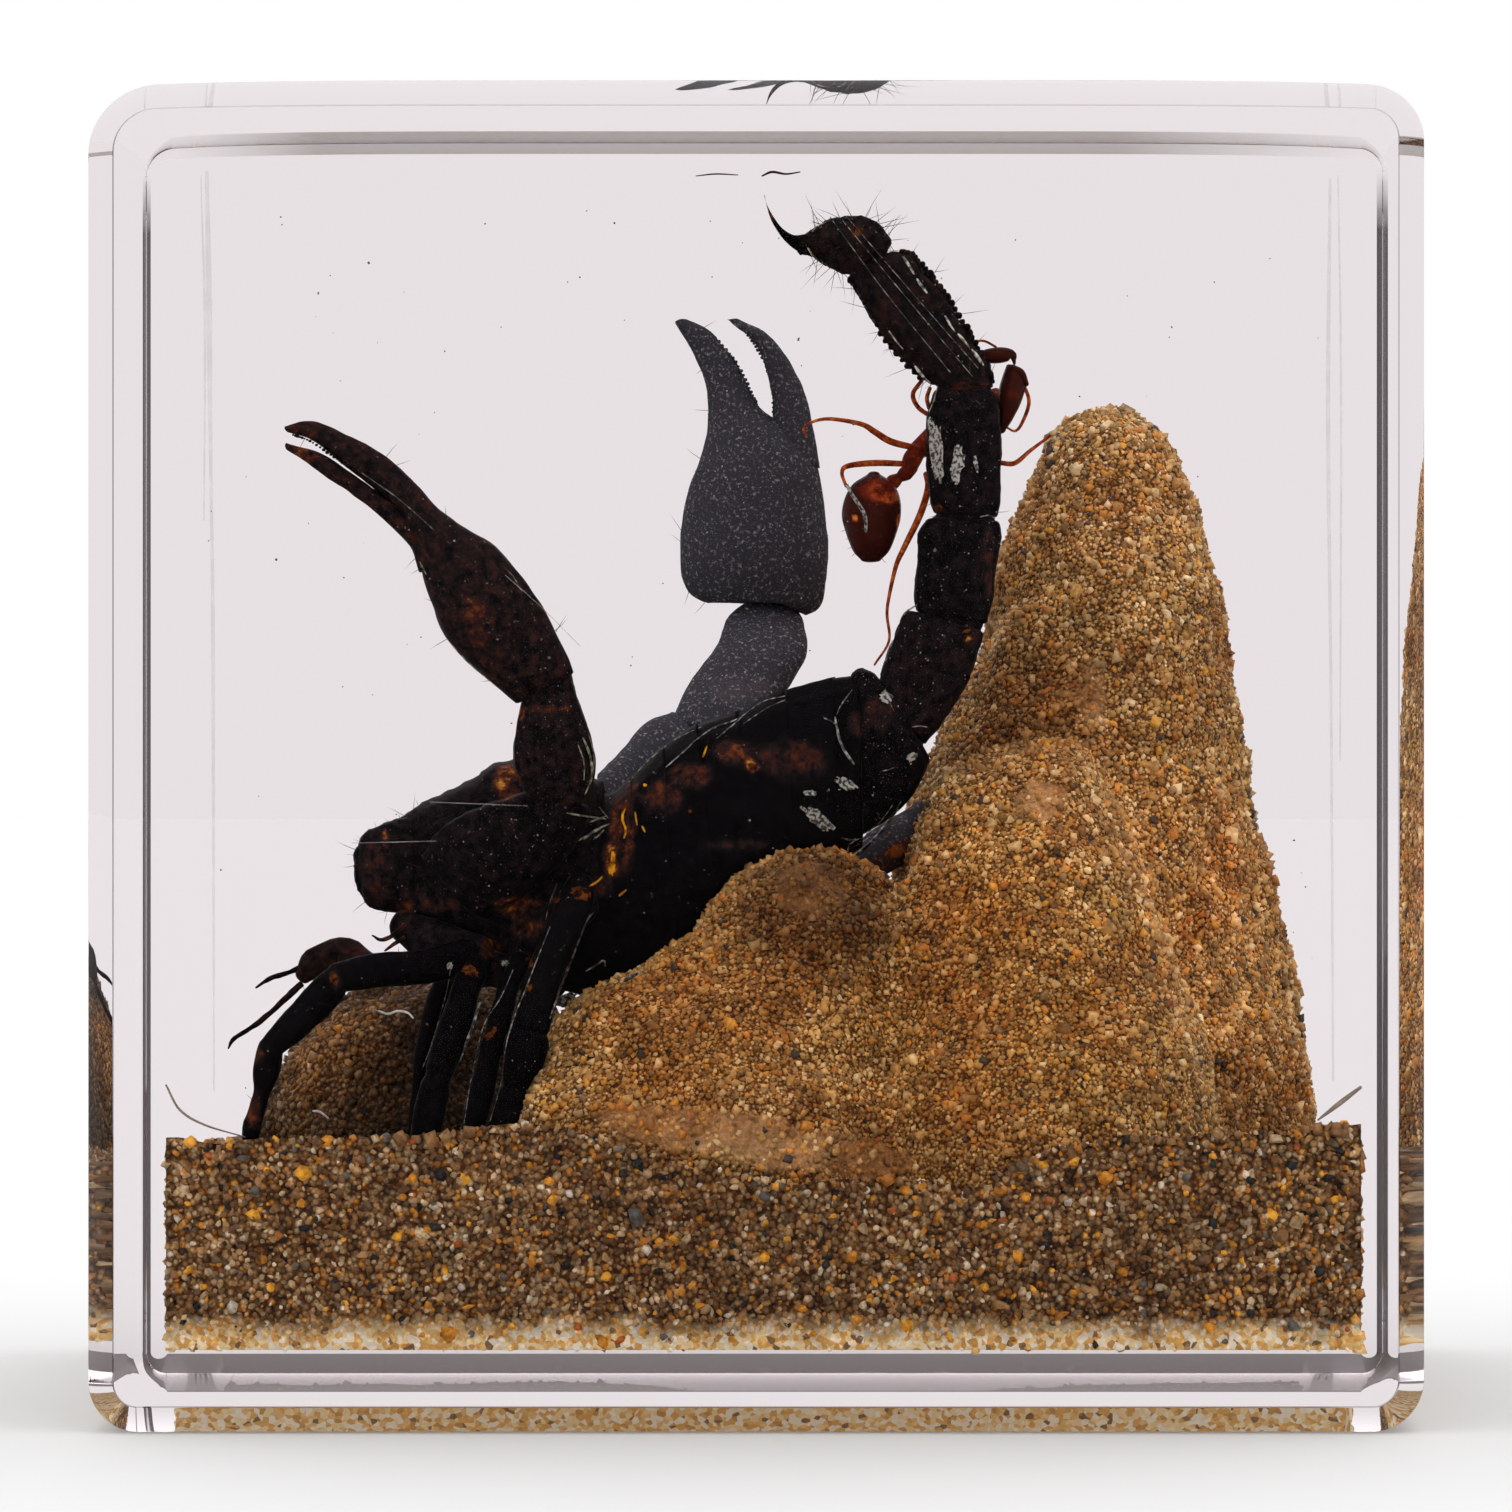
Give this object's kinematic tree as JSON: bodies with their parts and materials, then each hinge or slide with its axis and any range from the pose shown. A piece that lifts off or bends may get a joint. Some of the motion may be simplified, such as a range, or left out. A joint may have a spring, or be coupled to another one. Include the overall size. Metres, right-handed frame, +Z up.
{
  "type": "scorpion in resin block",
  "caption": "Clear cast resin block on a flat base, holding a dried scorpion with raised claws and arched tail, and an ant, on a bed of sand with sandy mounds.",
  "frame": {"origin": "middle of the flat base of the resin block", "axes": "+Z up, +X to the right in the front view, -Y towards the viewer of the front face"},
  "size_m": [0.0507, 0.046, 0.0506],
  "materials": {
    "clear_resin": "clear cast resin, polished",
    "sand": "loose quartz sand with tan, grey, white, orange and black grains",
    "mound": "plaster mounds with a coat of fine tan sand",
    "cuticle": "black scorpion cuticle, satin, brown where it is thin",
    "ant_cuticle": "red-brown ant cuticle, glossy"
  },
  "bodies": {
    "root": {"resin_block": "clear_resin"}
  },
  "joints": []
}
